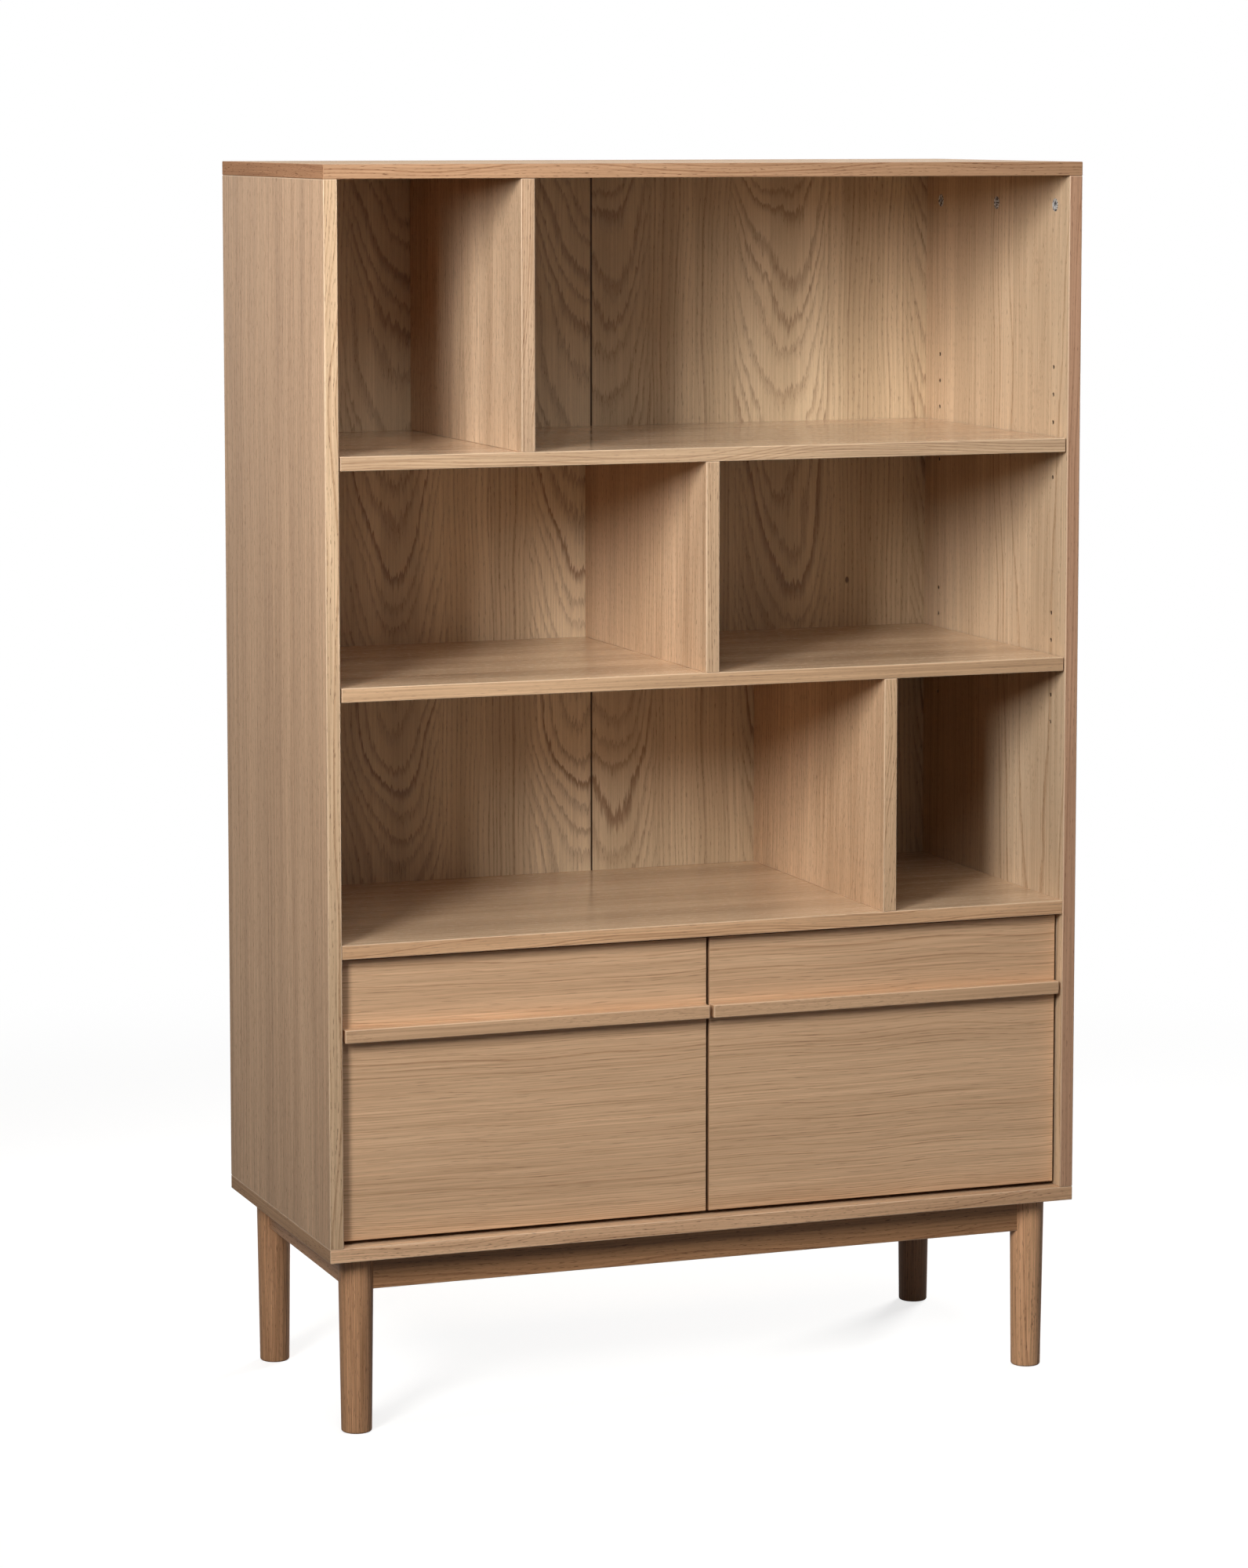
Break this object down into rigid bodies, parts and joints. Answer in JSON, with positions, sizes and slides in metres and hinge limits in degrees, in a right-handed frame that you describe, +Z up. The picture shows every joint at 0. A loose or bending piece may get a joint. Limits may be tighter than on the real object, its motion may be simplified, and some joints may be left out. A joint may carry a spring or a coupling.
{
  "type": "bookcase",
  "caption": "Tall open bookcase in oak veneer on round tapered legs, with staggered dividers between the shelves over a pair of drawers with full-width grip strips.",
  "frame": {"origin": "on the floor under the middle of the bookcase", "axes": "+Z up, +X to the right as seen from the front, and the drawer fronts face -Y"},
  "size_m": [0.908, 0.404, 1.414],
  "materials": {
    "oak_veneer": "satin lacquered oak veneer",
    "back_oak_veneer": "satin lacquered oak veneer with a cathedral figure",
    "solid_oak": "satin lacquered solid oak",
    "drawer_box_wood": "matt lacquered light wood",
    "corner_block_wood": "plain sawn pine",
    "beech_dowel": "plain turned beech",
    "zinc_fitting": "die-cast zinc",
    "slide_steel": "zinc-plated sheet steel",
    "fastener_steel": "zinc-plated steel"
  },
  "bodies": {
    "case": {"back_panel_left": "back_oak_veneer", "back_panel_right": "back_oak_veneer", "back_rail": "solid_oak", "back_screws": "fastener_steel", "base_screws": "fastener_steel", "bottom_board": "oak_veneer", "cam_bolts": "fastener_steel", "cam_housings": "zinc_fitting", "corner_block_back_left": "corner_block_wood", "corner_block_back_right": "corner_block_wood", "corner_block_front_left": "corner_block_wood", "corner_block_front_right": "corner_block_wood", "divider_dowels": "beech_dowel", "drawer_partition": "oak_veneer", "fixed_shelf": "oak_veneer", "front_rail": "solid_oak", "left_drawer_outer_slides": "slide_steel", "left_rail": "solid_oak", "left_side_panel": "oak_veneer", "leg_back_left": "solid_oak", "leg_back_right": "solid_oak", "leg_bolts": "fastener_steel", "leg_front_left": "solid_oak", "leg_front_right": "solid_oak", "lower_divider": "oak_veneer", "middle_divider": "oak_veneer", "middle_shelf": "oak_veneer", "middle_shelf_pins": "fastener_steel", "partition_dowels": "beech_dowel", "right_drawer_outer_slides": "slide_steel", "right_rail": "solid_oak", "right_side_panel": "oak_veneer", "slide_screws": "fastener_steel", "top_board": "oak_veneer", "upper_divider": "oak_veneer", "upper_shelf": "oak_veneer", "upper_shelf_pins": "fastener_steel"},
    "left_drawer": {"left_drawer_box_back": "drawer_box_wood", "left_drawer_box_bottom": "drawer_box_wood", "left_drawer_box_case_side": "drawer_box_wood", "left_drawer_box_front": "drawer_box_wood", "left_drawer_box_partition_side": "drawer_box_wood", "left_drawer_front": "oak_veneer", "left_drawer_grip_strip": "solid_oak", "left_drawer_inner_slides": "slide_steel", "left_drawer_screws": "fastener_steel"},
    "left_slide_members": {"left_drawer_middle_slides": "slide_steel"},
    "right_drawer": {"right_drawer_box_back": "drawer_box_wood", "right_drawer_box_bottom": "drawer_box_wood", "right_drawer_box_case_side": "drawer_box_wood", "right_drawer_box_front": "drawer_box_wood", "right_drawer_box_partition_side": "drawer_box_wood", "right_drawer_front": "oak_veneer", "right_drawer_grip_strip": "solid_oak", "right_drawer_inner_slides": "slide_steel", "right_drawer_screws": "fastener_steel"},
    "right_slide_members": {"right_drawer_middle_slides": "slide_steel"}
  },
  "joints": [
    {"name": "left_drawer_slide", "type": "slide", "parent": "case", "child": "left_drawer", "axis": [0, -1, 0], "range_m": [0, 0.3]},
    {"name": "left_slide_extension", "type": "slide", "parent": "case", "child": "left_slide_members", "axis": [0, -1, 0], "range_m": [0, 0.15]},
    {"name": "right_drawer_slide", "type": "slide", "parent": "case", "child": "right_drawer", "axis": [0, -1, 0], "range_m": [0, 0.3]},
    {"name": "right_slide_extension", "type": "slide", "parent": "case", "child": "right_slide_members", "axis": [0, -1, 0], "range_m": [0, 0.15]}
  ],
  "couplings": [
    {"joint": "left_slide_extension", "follows": "left_drawer_slide", "ratio": 0.5},
    {"joint": "right_slide_extension", "follows": "right_drawer_slide", "ratio": 0.5}
  ]
}
